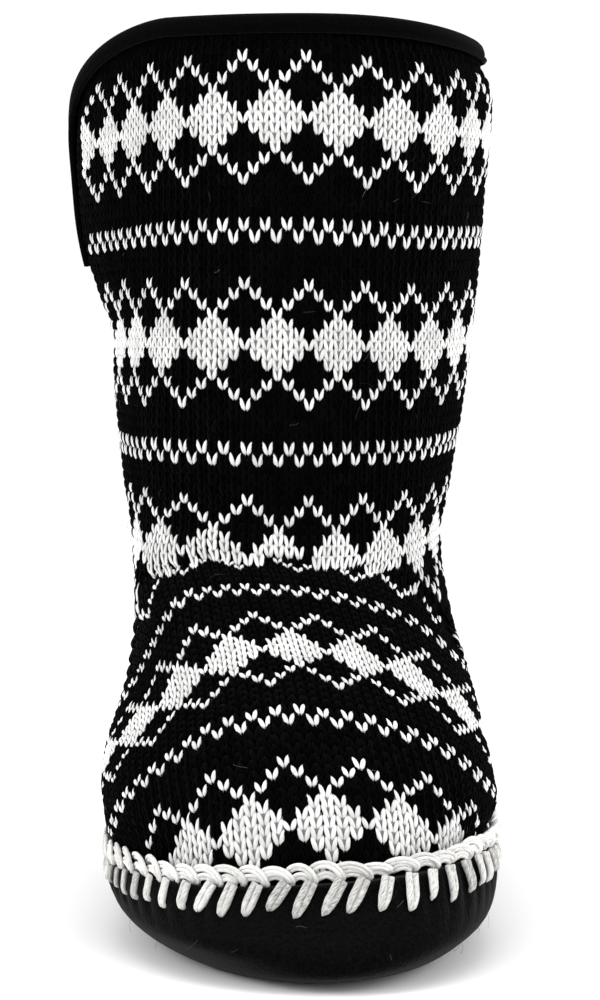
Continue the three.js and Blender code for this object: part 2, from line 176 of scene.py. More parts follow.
def bow(share):
    """Quarter of a superellipse, from 1 at share 0 to 0 at share 1."""
    return (1 - np.clip(share, 0, 1) ** CORNER_POWER) ** (1 / CORNER_POWER)


def flap_edge(z):
    """Angle of the flap's free edge: straight, then a wide round corner up to the collar."""
    return FLAP_LIFT + CORNER_WIDE * bow((z - CORNER_LEVEL) / CORNER_TALL)


def flap_top(angle):
    """Height of the flap's edge at an angle, the same corner read the other way."""
    return CORNER_LEVEL + CORNER_TALL * bow((angle - FLAP_LIFT) / CORNER_WIDE)


def flap_inset(angle, z):
    """Distance from the flap's free edge on the cloth, square to the edge, and -1 past it."""
    side, above = (flap_edge(z) - angle) * MM_PER_DEGREE, flap_top(angle) - z
    inside = (side > 0) & (above > 0)
    return np.where(inside, side * above / np.maximum(np.hypot(side, above), TINY), -1)


def flap_lift(angle, z):
    """How far the front panel stands off the shaft: a rounded rise above its foot, eased from none where it
    leaves the shaft to all of it at the free edge."""
    rise = 1 - (1 - np.clip((z - FLAP_LOW) / FLAP_OFF_TALL, 0, 1)) ** FLAP_OFF_POWER
    return FLAP_OFF * rise * smooth(FLAP_LIFT, FLAP_EDGE, angle)


def on_flap(angle, z):
    """Whether a place on the upper is covered by the flap."""
    return (z > FLAP_LOW) & (angle > FLAP_ROOT) & (flap_inset(angle, z) > 0)


def ring_top(angle):
    """Top edge of the shaft's ring: dipped under the flap, a little lower at the inner side."""
    turned = np.mod(angle, 360)
    saddle = np.where(turned > 180, RING_SADDLE * np.abs(np.sin(np.radians(turned))) ** 3, 0)
    return COLLAR - RING_DIP * plateau(RING_DIP_SPANS, turned) - saddle


def edge_inset(angle, z, covered):
    """Distance from the bound edge on the cloth, square to it: from the flap's free edge where the flap
    covers a place, elsewhere from the ring's top edge, whose slope makes the way straight down longer."""
    tilt = np.hypot(1, (ring_top(angle + 1) - ring_top(angle - 1)) / (2 * MM_PER_DEGREE))
    return np.where(covered, flap_inset(angle, z), (ring_top(angle) - z) / tilt)


# Ankle crease, where the cloth of the shaft rolls over the vamp: height of its line at angles round the
# front, from the inner side to the outer. Behind its ends the shaft's cloth runs down to the sole.
CREASE = np.array([
    [-180, 12], [-113, 20], [-108, 40], [-100, 57], [-92, 66], [-80, 74], [-67, 82.7], [-56, 89.8],
    [-45, 94.3], [-37, 97], [-22, 99.4], [-12, 100.1], [-3, 100.7], [8, 101.2], [28, 101.5], [34, 101],
    [39.5, 99.5], [49, 96.8], [58.5, 94.5], [71, 92.7], [85, 87], [96, 74], [104, 50], [112, 20], [180, 12],
])


def crease(angle):
    """Height of the ankle crease at an angle."""
    return np.interp(wrapped(angle), CREASE[:, 0], CREASE[:, 1])


def front_share(angle):
    """Share of the ankle fold: 1 round the front, fading out at both sides."""
    return plateau(FOLD_SPANS, wrapped(angle))


def fold(angle, over):
    """How far the cloth stands out at a height over the ankle crease: a full roll above the crease's line,
    a soft trough under it, both fading out at the sides."""
    return front_share(angle) * np.where(over > 0, bell(over, *FOLD_ROLL), bell(over, *FOLD_TROUGH))


def rim_shift(angle):
    """How far the sewn rim lies above its middle level: lower at the outer side than at the inner side."""
    return RIM_TILT * surface(SOLE, angle, SOLE_RIM)[..., 0] - RIM_DROP


def tilted(angle, z):
    """Height of a place on the sole's wall with its share of the rim's tilt."""
    return z + rim_shift(angle) * smooth(TILT_LOW, SOLE_RIM, z)


def seam(angle):
    """Height of the edge seam: the sole's tilted rim, and over it a climb along the outer side."""
    return CHAIN_LEVEL + rim_shift(angle) + SEAM_CLIMB * plateau(SEAM_CLIMB_SPANS, wrapped(angle))


def swell(angle, z):
    """How far the forefoot's sides stand out over the edge seam: a wide soft bulge and a fuller roll just
    above the seam, less and higher up at the inner side."""
    turned, over = wrapped(angle), z - seam(angle)
    outer = bell(z, *OUTER_BULGE) + bell(over, *OUTER_ROLL)
    inner = bell(z, *INNER_BULGE) + bell(over, *INNER_ROLL)
    return plateau(SWELL_SPANS, np.abs(turned)) * np.where(turned > 0, outer, inner)


def cloth(angle, z, distance=0.0, flap=True, over=None):
    """Outside of the knit: the upper's surface moved out by the ankle fold (level above the crease, square
    to the vamp below it), by the forefoot's swell and, where the flap lies, by its lift, and drawn in under
    the binding. over is the height over the crease that the fold is for."""
    angle, z = np.broadcast_arrays(np.asarray(angle, float), np.asarray(z, float))
    over = z - crease(angle) if over is None else over
    level = ((z < LEVEL_BELOW) | (over > 0) & (z > LEVEL_ABOVE))[..., None]
    n = np.where(level, normal(UPPER, angle, z, True), normal(UPPER, angle, z))
    covered = on_flap(angle, z) & flap
    pinch = PINCH * (1 - smooth(*PINCH_FADE, edge_inset(angle, z, covered)))
    lift = fold(angle, over) + swell(angle, z) - pinch + np.where(covered, flap_lift(angle, z), 0)
    return surface(UPPER, angle, z) + n * (lift + distance)[..., None]


# The frame's shift between the boot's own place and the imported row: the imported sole's outermost and
# rearmost places, against those of the sole's widest and longest slices.
SOLE_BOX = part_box("sole")
WIDEST_SLICE, LONGEST_SLICE = 22.0, 15.0
SHIFT = np.array([
    SOLE_BOX[0][0] / MM - surface(SOLE, 90, WIDEST_SLICE)[0],
    SOLE_BOX[1][1] / MM - surface(SOLE, 180, LONGEST_SLICE)[1], 0,
])


def piece(name, points, quads, tris=(), materials=(), kind=None, uv=None, tone=None):
    """Smooth mesh from points in mm and arrays of faces, riding on the boot. kind is each face's material,
    uv and tone are values kept on the points."""
    quads, tris = np.asarray(quads, int).reshape(-1, 4), np.asarray(tris, int).reshape(-1, 3)
    corners = points[np.vstack([quads[:, [0, 1, 2]], quads[:, [0, 2, 3]], tris])] - points.mean(axis=0)
    if np.einsum("ij,ij->", corners[:, 0], np.cross(corners[:, 1], corners[:, 2])) < 0:
        quads, tris = quads[:, ::-1], tris[:, ::-1]
    data = bpy.data.meshes.new(name)
    data.vertices.add(len(points))
    data.vertices.foreach_set("co", ((points + SHIFT) * MM).astype(np.float32).ravel())
    data.loops.add(quads.size + tris.size)
    data.loops.foreach_set("vertex_index", np.concatenate([quads.ravel(), tris.ravel()]).astype(np.int32))
    data.polygons.add(len(quads) + len(tris))
    starts = np.concatenate([np.arange(len(quads)) * 4, quads.size + np.arange(len(tris)) * 3])
    data.polygons.foreach_set("loop_start", starts.astype(np.int32))
    data.polygons.foreach_set("use_smooth", np.ones(len(starts), bool))
    for material in materials:
        data.materials.append(material)
    if kind is not None:
        data.polygons.foreach_set("material_index", np.asarray(kind, np.int32))
    if uv is not None:
        data.attributes.new("yarn", "FLOAT_VECTOR", "POINT").data.foreach_set(
            "vector", np.column_stack([uv, np.zeros(len(uv))]).astype(np.float32).ravel())
    if tone is not None:
        data.attributes.new("tone", "FLOAT", "POINT").data.foreach_set("value", tone.astype(np.float32))
    data.update(calc_edges=True)
    obj = bpy.data.objects.new(name, data)
    bpy.context.scene.collection.objects.link(obj)
    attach(obj, "root")
    return obj


def lattice(rows, columns, closed_rows=False, closed_columns=False):
    """Quads of a grid of points stored row by row, joined end to end where closed."""
    r = np.arange(rows if closed_rows else rows - 1)[:, None]
    c = np.arange(columns if closed_columns else columns - 1)[None, :]
    r2, c2 = (r + 1) % rows, (c + 1) % columns
    return np.stack(np.broadcast_arrays(
        r * columns + c, r * columns + c2, r2 * columns + c2, r2 * columns + c), axis=-1).reshape(-1, 4)


def linear(code):
    """Linear colour with alpha of an sRGB hex code."""
    c = np.array([int(code[i:i + 2], 16) for i in (1, 3, 5)]) / 255
    return (*np.where(c <= 0.04045, c / 12.92, ((c + 0.055) / 1.055) ** 2.4), 1.0)


def node(tree, kind, inputs=None, **settings):
    """Adds a node, sets its settings, and sets each named input to a value or links it to (node,
    output)."""
    new = tree.nodes.new(kind)
    for name, value in settings.items():
        setattr(new, name, value)
    for name, value in (inputs or {}).items():
        if isinstance(value, tuple) and isinstance(value[0], bpy.types.Node):
            tree.links.new(value[0].outputs[value[1]], new.inputs[name])
        else:
            new.inputs[name].default_value = value
    return new


def textile(name, shades, grain, bump, sheen, source="grain", stops=(0.32, 0.72)):
    """Cloth or yarn: its colour runs through the shades at the stops with a fine grain, or with the tone
    kept on the mesh, over a bump of the grain and a velvety sheen. grain is the size of the grain and bump
    its height in mm. With source fibre the grain is read on the yarn, by the turn round it and the length
    along it, and both the tone and the grain make the colour."""
    material = bpy.data.materials.new(name)
    material.use_nodes = True
    tree = material.node_tree
    shader = tree.nodes["Principled BSDF"]
    if source == "fibre":
        place, scale = (node(tree, "ShaderNodeAttribute", attribute_name="yarn"), "Vector"), 1 / grain
    else:
        place, scale = (node(tree, "ShaderNodeTexCoord"), "Object"), 1 / (grain * MM)
    noise = node(tree, "ShaderNodeTexNoise",
                 {"Vector": place, "Scale": scale, "Detail": 3.0, "Roughness": 0.6})
    shade = (noise, "Fac")
    if source != "grain":
        shade = (node(tree, "ShaderNodeAttribute", attribute_name="tone"), "Fac")
    if source == "fibre":
        shade = (node(tree, "ShaderNodeMath", {0: shade, 1: (noise, "Fac")}, operation="MULTIPLY"), "Value")
    ramp = node(tree, "ShaderNodeValToRGB", {"Fac": shade})
    for code, stop in zip(shades[1:-1], stops[1:-1]):
        ramp.color_ramp.elements.new(stop).color = linear(code)
    for k in (0, -1):
        ramp.color_ramp.elements[k].position, ramp.color_ramp.elements[k].color = stops[k], linear(shades[k])
    relief = node(tree, "ShaderNodeBump", {"Height": (noise, "Fac"), "Distance": bump * MM, "Strength": 1.0})
    tree.links.new(ramp.outputs["Color"], shader.inputs["Base Color"])
    tree.links.new(relief.outputs["Normal"], shader.inputs["Normal"])
    for socket, value in (("Roughness", 0.95), ("Specular IOR Level", 0.015),
                          ("Sheen Weight", sheen), ("Sheen Roughness", 0.4)):
        shader.inputs[socket].default_value = value
    return material


# White wool: bright, matt, each stitch a shade of its own; grey in the gaps between the legs as painted
# shade.
WHITE_WOOL = textile("white wool yarn", ["#868685", "#d4d4d3", "#ececeb"], grain=0.45, bump=0.25, sheen=0.03,
                     source="tone", stops=(0, 0.3, 1))
# Black wool: deep black legs, hardly told apart.
BLACK_WOOL = textile("black wool yarn", ["#010101", "#050505"], grain=0.45, bump=0.25, sheen=0.01,
                     source="tone", stops=(0.3, 1))
# Backing between the stitches: what shows in the gaps, black.
BACKING = textile("black knit backing", ["#010101", "#040404"], grain=0.8, bump=0.2, sheen=0)
# Fleece lining: soft, napped, dark.
FLEECE = textile("black fleece lining", ["#070709", "#161618"], grain=1.4, bump=0.6, sheen=0.2)
# Velour of the binding: as black as the knit, with a short nap and a faint rim of light.
VELOUR = textile("black velour binding", ["#020203", "#070708"], grain=0.6, bump=0.35, sheen=0.025)
# Napped sole cloth: black with a grey brushed nap.
NAP = textile("black napped sole cloth", ["#020202", "#0b0b0c"], grain=0.9, bump=0.35, sheen=0.07)
# Thick white yarn of the chain and the whip stitches, its fibres running along it; the whip stitches take
# # it in lower tones, greyer, as painted shade.
CHAIN_YARN = textile("white crochet yarn", ["#7d7c7a", "#c9c8c5", "#f1f0ed"], grain=0.28, bump=0.35,
                     sheen=0.03, source="fibre", stops=(0.26, 0.36, 0.56))
# Loose fibres: dark grey, a few of them pale.
LINT = textile("wool lint", ["#161616", "#8a8a88"], grain=0.5, bump=0.05, sheen=0.05,
               source="tone", stops=(0, 1))

# Chart of the knit: 21 rows counted downwards, the white stitches among 6 wales.
CHART_ROWS, CHART_WALES = 21, 6
CHART = np.zeros((CHART_ROWS, CHART_WALES), bool)
for row, wales in enumerate([
    [0], [1, 5], [2, 4], [3], [2, 3, 4], [1, 2, 3, 4, 5], [0, 1, 2, 3, 4, 5], [1, 2, 3, 4, 5], [2, 3, 4], [3],
    [2, 4], [1, 5], [0], [], [], [], [0, 2, 4], [1, 3, 5], [], [], [],
]):
    CHART[row, wales] = True

# Rows of the shaft: height of a row at the front middle, then how far it lies above that height at angles
# round the shaft (the collar's rows hang lower at both sides, the ankle's rows climb there).
LEVEL_ROWS = [-4, 0, 12, 16, 17, 21, 33, 37, 38, 42, 48, 78]
LEVELS = [257.2, 245.5, 210.2, 197, 193.5, 179.7, 144.5, 131.5, 128, 116.2, 98.95, 9]
HANG_ANGLES = [-180, -120, -90, -75, -54, -37, -20, 0, 15, 31, 43, 55, 64, 73, 95, 120, 180]
HANG_ROWS = [0, 16, 21, 37, 42, 48, 54, 75]
HANG = np.array([
    [-2.5, -3, -3.5, -3.5, -3.4, -2.6, -1.7, 0, 0.2, -1.1, -2.3, -4.9, -6.8, -8, -8.5, -5, -2.5],
    [-1, -1, -1, -0.8, -1.7, -1.8, -1, 0, 0, -0.2, -0.9, -1.8, -2.4, -3, -3.4, -2, -1],
    [0.3, 0.4, 0.5, 0.3, -0.7, -1.4, -1, -0.2, 0.2, 0.1, 0.4, 0.4, 0, -1, -1.5, -0.5, 0.3],
    [2.5, 3.4, 3.8, 3.1, 1.1, 0.3, 0.4, 0, 0, 0.4, 0.7, 0.7, 0.9, 1.7, 2.6, 3, 2.5],
    [2.8, 4.2, 4.6, 4, 1.8, 0.6, 0.3, -0.1, 0.1, 0.2, 0.3, 1, 1.5, 1.9, 2.6, 3, 2.8],
    [3.5, 5.5, 7, 6.1, 3.5, 1.9, 0.4, 0, 0.9, 2, 2.8, 2.4, 2, 2.2, 2.8, 3.5, 3.5],
    [3.5, 7, 9.5, 9, 6.5, 3.5, 0.6, 0, 1, 2.5, 3.5, 3.2, 3, 3, 3.5, 4, 3.5],
    [0, 0, 0, 0, 0, 0, 0, 0, 0, 0, 0, 0, 0, 0, 0, 0, 0],
])
# Wales of the shaft: angle of every sixth wale (and far round the back) in the rows 0, 21, 42 and 48. Below
# these rows the wales run straight down, at the front only from the lower of two heights on.
WALE_ROWS = [0, 21, 42, 48]
SHAFT_WALES = np.array([
    [-70, -201.8, -203.9, -217.8, -217.8], [-24, -68.4, -70.5, -75.2, -75.6],
    [-18, -53.6, -53.6, -60.3, -60.8], [-12, -37.5, -37, -42.7, -43.2], [-6, -19.7, -20.4, -23.9, -23.9],
    [0, -1.8, -2.7, -3.1, -3.1], [6, 15.1, 15.9, 16.7, 17], [12, 30.7, 34.9, 39.9, 41.6],
    [18, 43.3, 48.8, 59.9, 65.8], [24, 54.7, 60.7, 73.1, 81], [30, 65, 72.1, 91, 98],
    [70, 180, 188, 211, 211], [80, 208.8, 217, 241, 239.3],
])
STRAIGHT_FADE = (58, 80)
# Rows of the vamp: a row's number, then its angles and its heights at them. They cross the foot like hoops.
VAMP_ROWS = [
    (50, [-110, -90, -75, -60, -41, -19, 0, 18, 44, 65, 85, 100, 120],
     [93.6, 91.6, 90.6, 93.6, 97.6, 100.6, 102.1, 102.6, 101.1, 92.1, 91.6, 88.6, 92.6]),
    (54, [-110, -90, -75, -60, -41.5, -19, 0, 18, 44.5, 55, 65, 75, 85, 100, 120],
     [80, 77, 75.5, 82.5, 90.4, 96, 98, 98.6, 96.6, 91.5, 83.6, 77.5, 74, 75, 80]),
    (58.5, [-130, -100, -85, -73.5, -67, -54.5, -41, -27.5, -12, 5, 25,
            41.5, 49.5, 57, 64, 71, 76, 85, 95, 110, 130],
     [67.7, 68.2, 69.7, 71.3, 74.1, 79.9, 85.1, 88.5, 91.3, 93.1, 92.7,
      90.5, 87.3, 80.3, 73.5, 67.1, 64.1, 60.7, 60.2, 62.7, 66.7]),
    (69, [-140, -110, -90, -73, -52, -35, -15, 7, 25, 44, 58, 72, 85, 95, 115, 140],
     [35.8, 39, 48, 56.6, 65.2, 72.6, 77.8, 80, 78.4, 70, 60.2, 52.6, 46, 42, 37, 35.8]),
    (75, [-110, -90, -75, -60, -42, -30, -15, 8, 25, 35, 45, 57, 72, 85, 95, 110],
     [25.3, 38.9, 47.8, 54.1, 62.4, 66.8, 70.5, 73.1, 70, 66.2, 60.4, 52.7, 43, 35.1, 29.1, 23]),
    (79.5, [-140, -110, -90, -77.5, -62, -47, -32, -18, 8, 33, 42, 55, 70, 83, 95, 110, 140],
     [4, 13.3, 30.3, 38.9, 44.9, 52.7, 58.5, 62.5, 65.9, 60.4, 53.8, 45.9, 35.1, 26.4, 17.4, 9.4, 2.1]),
    (90, [-110, -90, -70, -42, -19, 0, 16, 35, 60, 75, 90, 110],
     [-13.2, 0.8, 15.8, 31.6, 38, 40, 37.3, 31.3, 16.8, 5.8, -4.2, -18.2]),
    (97, [-110, -90, -70, -42, -19, 0, 16, 35, 60, 75, 90, 110],
     [-33.6, -19.6, -4.6, 11.2, 17.6, 19.6, 16.9, 10.9, -3.6, -14.6, -24.6, -38.6]),
]
# Angles half a degree apart, round the vamp and past the heel on both sides.
VAMP_TURN, WHOLE_TURN = np.linspace(-140, 140, 561), np.linspace(-230, 230, 921)
# Weights that round off the corners of the vamp's rows: their reach in steps and width in degrees.
BLUR_REACH, BLUR_WIDE = 30, 6
BLUR = bell(np.arange(-BLUR_REACH, BLUR_REACH + 1) / 2, 0, BLUR_WIDE)


def row_line(angles, levels):
    """Heights of a vamp row round the foot: straight from one place to the next, then rounded off."""
    line = np.pad(np.interp(VAMP_TURN, angles, levels), BLUR_REACH, "edge")
    return np.convolve(line, BLUR / BLUR.sum(), "valid")


VAMP = np.array([[row, *row_line(angles, levels)] for row, angles, levels in VAMP_ROWS])
# Pitch of the vamp's wales, and how far they drift towards the inner side, in mm, by row.
PITCH_ROWS, PITCHES = [54, 58.5, 69, 79.5, 90], [2.75, 2.75, 2.78, 3.05, 3.2]
DRIFT_ROWS, DRIFTS = [54, 63, 75, 84, 87, 90, 96], [-0.3, 2.7, 6.9, 9.5, 10.1, 11.2, 12.6]
# How far the outer side's wales of the vamp lie further round than an even pitch puts them, in mm.
EASE_WALES, EASES = [-1, 6, 12, 18, 24, 28], [0.2, 1.7, 3, 2.8, 1.6, 0.5]
# The same for the rows next to the ankle crease, at both sides, and the rows over which it fades out.
TOP_WALES, TOP_EASES = [-24, -18, -12, -6, 6, 12, 18, 24], [8, 6, 2, 0, 0, 0.4, 2.4, 3]
TOP_ROWS, TOP_SHARES = [54, 58.5], [1, 0]


def straight_down(angle, high, low):
    """Angles at a low height of wales that cross a high one at the given angles: as far from the heel's
    middle line along the cloth's section at the one height as at the other, so that the wales keep their
    pitch."""
    turn = WHOLE_TURN
    above, below = (arc(surface(UPPER, turn, np.full(len(turn), z))) for z in (high, low))
    heel = np.where(angle < 0, -180, 180)
    length = np.interp(angle, turn, above) - np.interp(heel, turn, above)
    return np.interp(np.interp(heel, turn, below) + length, below, turn)


def between(rows, row):
    """Which span of the charted rows a row lies in, and its share of the way through it."""
    k = int(np.clip(np.searchsorted(rows, row) - 1, 0, len(rows) - 2))
    return k, np.clip((row - rows[k]) / (rows[k + 1] - rows[k]), 0, 1)


def shaft_place(row, wale):
    """Angle and height of stitches on the shaft: the wale's angle between the charted rows, from the last
    of them straight down at the sides and the back, and the row's level with its hang there."""
    turns = through(SHAFT_WALES, wale)
    k, t = between(WALE_ROWS, row)
    angle = turns[:, k] * (1 - t) + turns[:, k + 1] * t
    if row > WALE_ROWS[-1]:
        high, low = np.interp([WALE_ROWS[-1], row], LEVEL_ROWS, LEVELS)
        share = front_share(angle) * smooth(*STRAIGHT_FADE, low)
        angle = angle * share + straight_down(angle, high, low) * (1 - share)
    hang = np.array([np.interp(angle, HANG_ANGLES, line) for line in HANG])
    k, t = between(HANG_ROWS, row)
    return angle, np.interp(row, LEVEL_ROWS, LEVELS) + hang[k] * (1 - t) + hang[k + 1] * t


def vamp_place(row, wale):
    """Angle and height of stitches on the vamp: the row's line between the charted rows, and on it the
    length from the front middle that the wale has, less the drift towards the inner side, with the sides
    eased out."""
    z = through(VAMP, np.float64(row))
    lengths = arc(surface(UPPER, VAMP_TURN, z))
    lengths -= np.interp(0, VAMP_TURN, lengths)
    along = wale * np.interp(row, PITCH_ROWS, PITCHES) - np.interp(row, DRIFT_ROWS, DRIFTS)
    along = along + np.interp(wale, EASE_WALES, EASES)
    along = along + np.interp(row, TOP_ROWS, TOP_SHARES) * np.interp(wale, TOP_WALES, TOP_EASES)
    angle = np.interp(along, lengths, VAMP_TURN)
    return angle, np.interp(angle, VAMP_TURN, z)


# Rows and wales over which the two sheets of knit are laid out, before their edges are cut.
SHAFT_EXTENT, VAMP_EXTENT = (range(-3, 77), range(-66, 76)), (range(50, 98), range(-50, 51))
# How far the shaft's stitches hang over the crease and the vamp's reach up behind it, how far stitches run
# in under the chain and how far from the bound edge the binding covers them.
SHAFT_HANG, VAMP_REACH, UNDER_CHAIN, UNDER_BINDING = 1.6, 1.0, 0.5, 4.6
# Least height over or under the crease that a stitch takes its fold from, limits of its width and height.
FOLD_LEAST, STITCH_WIDE, STITCH_TALL = 0.6, (1.9, 3.5), (2.2, 6)
# How much longer the vamp's stitches are at the crease: middle, width and size of a bell by height over it.
CREASE_STRETCH = (0, 4, 0.2)
# A white stitch on its own: its width, and its height on the shaft and on the vamp.
ALONE_WIDE, ALONE_SHAFT, ALONE_VAMP = 1.08, 0.92, 0.8
# Black margins: last patterned wale on the flap, last rows and wales before the toe's black outer corner.
FLAP_LAST_WALE, TOE_CORNER = 33, ((83, 20), (86, 18))
# Tuck under the roll: least share of the fold that has it, its start above the crease and its slope.
TUCK_SHARE, TUCK_START, TUCK_SLOPE = 0.6, 0.3, 0.8
NO_TUCK = -1


def stitches():
    """Places of all stitches, shaft rows above the crease and vamp rows below it: middle, vectors across a
    wale, up a row and outwards, the height below which it is tucked in, whether the chart makes it white
    and the one above it too (such a stitch gets a bed of painted shade), and whether it is white. A margin
    along the flap's edge and the foot's lowest outer corner stay black, and a white stitch on its own is
    shorter and wider."""
    found = []
    for place, (rows, wales), side in ((shaft_place, SHAFT_EXTENT, 1), (vamp_place, VAMP_EXTENT, -1)):
        wale = np.array(wales)
        for row in rows:
            spots = [place(row + r, wale + w) for r, w in ((0, 0), (-.5, 0), (.5, 0), (0, -.5), (0, .5))]
            angle, z = spots[0]
            reach = front_share(angle) * (-SHAFT_HANG if side > 0 else VAMP_REACH)
            keep = side * (z - crease(angle) - reach) > 0
            keep &= (np.abs(angle) < 180) & (z > seam(angle) - UNDER_CHAIN)
            same = [np.full(len(wale), row), wale, np.full(len(wale), side)]
            found.append(np.stack([*np.concatenate(spots), *same])[:, keep])
    at, z, *around, row, wale, side = np.concatenate(found, axis=1)
    flap = on_flap(at, z)
    bare = (at > FLAP_ROOT) & (at < flap_edge(z)) & (z > FLAP_LOW) & ~flap
    keep = (edge_inset(at, z, flap) > UNDER_BINDING) & ~bare
    at, z, row, wale, side, flap, *around = (v[keep] for v in (at, z, row, wale, side, flap, *around))

    def sheet(turn, high):
        """Point of the cloth on the stitch's own side of the crease."""
        return cloth(turn, high, over=side * np.maximum(side * (high - crease(turn)), FOLD_LEAST))

    def limited(vectors, least, most):
        """Vectors with their lengths kept between two limits."""
        size = np.linalg.norm(vectors, axis=1, keepdims=True)
        return vectors * np.clip(size, least, most) / size

    above, below, right, left = (sheet(*around[i:i + 2]) for i in (0, 2, 4, 6))
    out = unit(np.cross(right - left, above - below))
    across, rise = limited(right - left, *STITCH_WIDE), limited(above - below, *STITCH_TALL)
    rise *= (1 + (side < 0) * bell(z - crease(at), *CREASE_STRETCH))[:, None]
    corner = np.any([(row > last_row) & (wale > last_wale) for last_row, last_wale in TOE_CORNER], axis=0)
    hidden = flap & (wale > FLAP_LAST_WALE) | (side < 0) & corner
    charted = np.mod([row, row - 1, row + 1], CHART_ROWS).astype(int), np.mod(wale, CHART_WALES).astype(int)
    white, white_above, white_below = CHART[charted] & ~hidden
    alone = white & ~white_above & ~white_below
    across = across * np.where(alone, ALONE_WIDE, 1)[:, None]
    rise = rise * np.where(alone, np.where(side < 0, ALONE_VAMP, ALONE_SHAFT), 1)[:, None]
    line = np.where((side > 0) & (front_share(at) > TUCK_SHARE), crease(at) + TUCK_START, NO_TUCK)
    return sheet(at, z), across, rise, out, line, white & white_above, white


# One leg of a stitch: its foot and its run, in wales and rows, its depth and thickness along it, and half
# its thickness in mm. Then the corners of the bed between two white stitches, in wales, rows and mm: a
# flat sheet whose grey is painted shade in the gaps.
LEG_FOOT, LEG_RUN, LEG_DEEP = (0.1, -0.68), (0.33, 1.54), 0.42
LEG_DEPTH = [0, 0.15, 0.5, 0.8, 1], [-1, -0.65, -0.32, -0.38, -0.7]
LEG_THICK = [0, 0.14, 0.36, 0.68, 0.86, 1], [0, 0.72, 1, 0.9, 0.55, 0]
SHADE_BED = np.array([[-0.43, -0.15, -0.75], [0.43, -0.15, -0.75], [0.43, 1, -0.75], [-0.43, 1, -0.75]])
# Spread of the stitches' turn, size and place, and range of their tones.
STITCH_TURN, STITCH_SIZE, STITCH_PLACE, STITCH_TONES = 0.035, 0.03, 0.06, (0.3, 1)


def stitch_shape(sides, rings, wide, lift):
    """One knit stitch: two slim legs that rise from a narrow base behind the stitch below and open upwards
    to points, each a spindle along a slanting line with flat oval sections. x in wales, y in rows, z in mm;
    wide is half a leg's width in wales, lift how far the legs stand out."""
    t = np.linspace(0, 1, rings + 2)
    x, y = (foot + run * t for foot, run in zip(LEG_FOOT, LEG_RUN))
    depth, thick = lift + np.interp(t, *LEG_DEPTH), np.interp(t, *LEG_THICK)[1:-1, None]
    turn = 2 * np.pi * (np.arange(sides) + 0.25) / sides
    body = np.stack([
        x[1:-1, None] + wide * thick * np.cos(turn), np.repeat(y[1:-1, None], sides, axis=1),
        depth[1:-1, None] + LEG_DEEP * thick * np.sin(turn)], axis=-1).reshape(-1, 3)
    leg = np.vstack([[[x[0], y[0], depth[0]]], body, [[x[-1], y[-1], depth[-1]]]])
    quads = lattice(rings, sides, closed_columns=True) + 1
    ring = np.arange(sides)
    low = np.stack([np.zeros(sides, int), 1 + (ring + 1) % sides, 1 + ring], axis=1)
    last = 1 + (rings - 1) * sides
    high = np.stack([np.full(sides, len(leg) - 1), last + ring, last + (ring + 1) % sides], axis=1)
    tris = np.vstack([low, high])
    shape = np.vstack([leg, leg * [-1, 1, 1]])
    return shape, np.vstack([quads[:, ::-1], quads + len(leg)]), np.vstack([tris[:, ::-1], tris + len(leg)])


def knit(name, pick, material, places, sides, rings, wide, lift):
    """Joined mesh of the picked stitches, each a little turned and sized on its own. What hangs below the
    crease is tucked in under the roll. Between a white stitch and a white one above it a flat bed fills the
    gaps, painted grey at tone 0 as the shade there."""
    middle, across, rise, out, line, shade_bedded = (v[pick] for v in places)
    shape, quads, tris = stitch_shape(sides, rings, wide, lift)
    count, legs = len(middle), len(shape)
    spin = RNG.normal(0, STITCH_TURN, (count, 1))
    x_axis = (across + spin * rise) * RNG.normal(1, STITCH_SIZE, (count, 1))
    y_axis = (rise - spin * across) * RNG.normal(1, STITCH_SIZE, (count, 1))
    middle = middle + RNG.normal(0, STITCH_PLACE, (count, 3))

    def laid(form, k):
        """Points of a form on the stitches k, tucked in below the crease."""
        points = middle[k][:, None]
        for i, axis in enumerate((x_axis, y_axis, out)):
            points = points + form[None, :, i:i + 1] * axis[k][:, None]
        under = np.clip(TUCK_SLOPE * (line[k][:, None] - points[..., 2]), 0, 1)[..., None]
        points -= under * unit(out[k] * [1, 1, 0])[:, None]
        return points.reshape(-1, 3)

    shift = (np.arange(count) * legs)[:, None, None]
    shade_beds = count * legs + np.arange(4 * shade_bedded.sum()).reshape(-1, 4)
    # Each stitch a random tone of its own; the beds tone 0, the wool's grey first shade, as painted shade.
    tone = np.concatenate([np.repeat(RNG.uniform(*STITCH_TONES, count), legs), np.zeros(shade_beds.size)])
    return piece(name, np.vstack([laid(shape, np.arange(count)), laid(SHADE_BED, shade_bedded)]),
                 np.vstack([(quads[None] + shift).reshape(-1, 4), shade_beds]), (tris[None] + shift).reshape(-1, 3),
                 [material], tone=tone)


def knit_pieces():
    """All of the knit, white and black stitches apart, in three heights so that no mesh grows too large."""
    *places, white = stitches()
    level = places[0][:, 2]
    for part, low, high in (("collar", 185, 300), ("shaft", 100, 185), ("foot", 0, 100)):
        here = (level > low) & (level <= high)
        knit("knit_white_" + part, white & here, WHITE_WOOL, places, sides=5, rings=5, wide=0.205, lift=0)
        knit("knit_black_" + part, ~white & here, BLACK_WOOL, places, sides=4, rings=3, wide=0.26, lift=0.04)


# How far the walls' outside lies below the stitches' crest.
STITCH_DEPTH = 1.4


